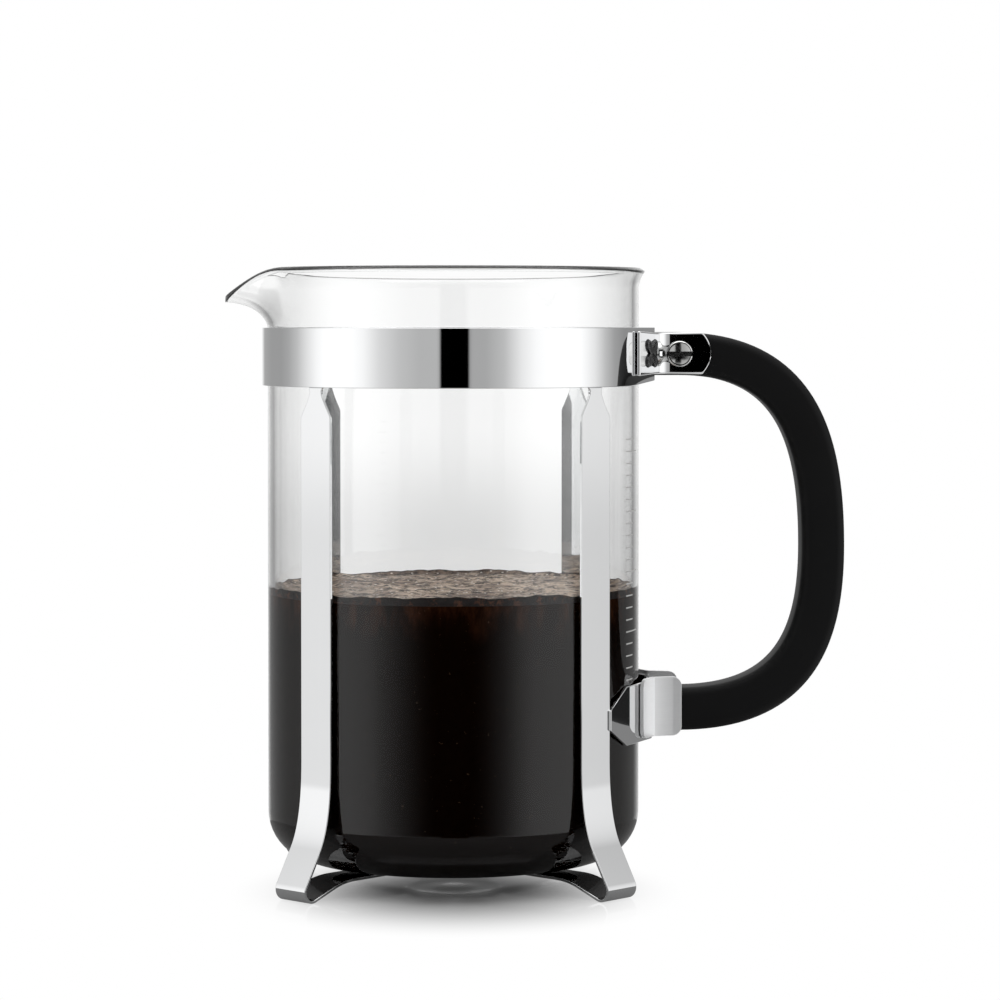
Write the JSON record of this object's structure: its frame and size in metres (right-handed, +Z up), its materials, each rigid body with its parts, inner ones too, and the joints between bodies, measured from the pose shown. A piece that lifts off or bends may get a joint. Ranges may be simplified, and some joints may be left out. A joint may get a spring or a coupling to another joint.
{
  "type": "french press",
  "caption": "Open french press: glass beaker with a pouring lip in a chromed strap frame, with a D-shaped black handle bolted above and clipped below.",
  "frame": {"origin": "on the table, under the middle of the whole outline", "axes": "+Z up; +X towards the handle, -X towards the pouring lip; +Y to the back, where the nut is"},
  "size_m": [0.1936, 0.12, 0.1905],
  "materials": {
    "glass": "clear, polished borosilicate",
    "chrome": "mirror chrome on steel sheet",
    "bolt_steel": "turned, lightly polished",
    "black_plastic": "fine satin moulding"
  },
  "bodies": {
    "frame": {"frame_band": "chrome", "leg_front_left": "chrome", "leg_front_right": "chrome", "leg_back_right": "chrome", "leg_back_left": "chrome", "base_plate": "chrome", "upper_lug_front": "chrome", "upper_lug_back": "chrome", "lug_stake_front": "chrome", "lug_stake_back": "chrome", "handle_grip": "black_plastic", "handle_saddle": "chrome", "lower_clip_front": "chrome", "lower_clip_back": "chrome"},
    "beaker": {"glass_beaker": "glass"},
    "bolt": {"handle_bolt": "bolt_steel"},
    "nut": {"handle_nut": "bolt_steel"}
  },
  "joints": [
    {"name": "beaker_lift", "type": "slide", "parent": "frame", "child": "beaker", "axis": [0, 0, 1], "range_m": [0, 0.18]},
    {"name": "bolt_turn", "type": "hinge", "parent": "frame", "child": "bolt", "pos_m": [0.0446, 0, 0.1638], "axis": [0, 1, 0], "continuous": true},
    {"name": "nut_turn", "type": "hinge", "parent": "frame", "child": "nut", "pos_m": [0.0446, 0, 0.1638], "axis": [0, 1, 0], "continuous": true}
  ]
}
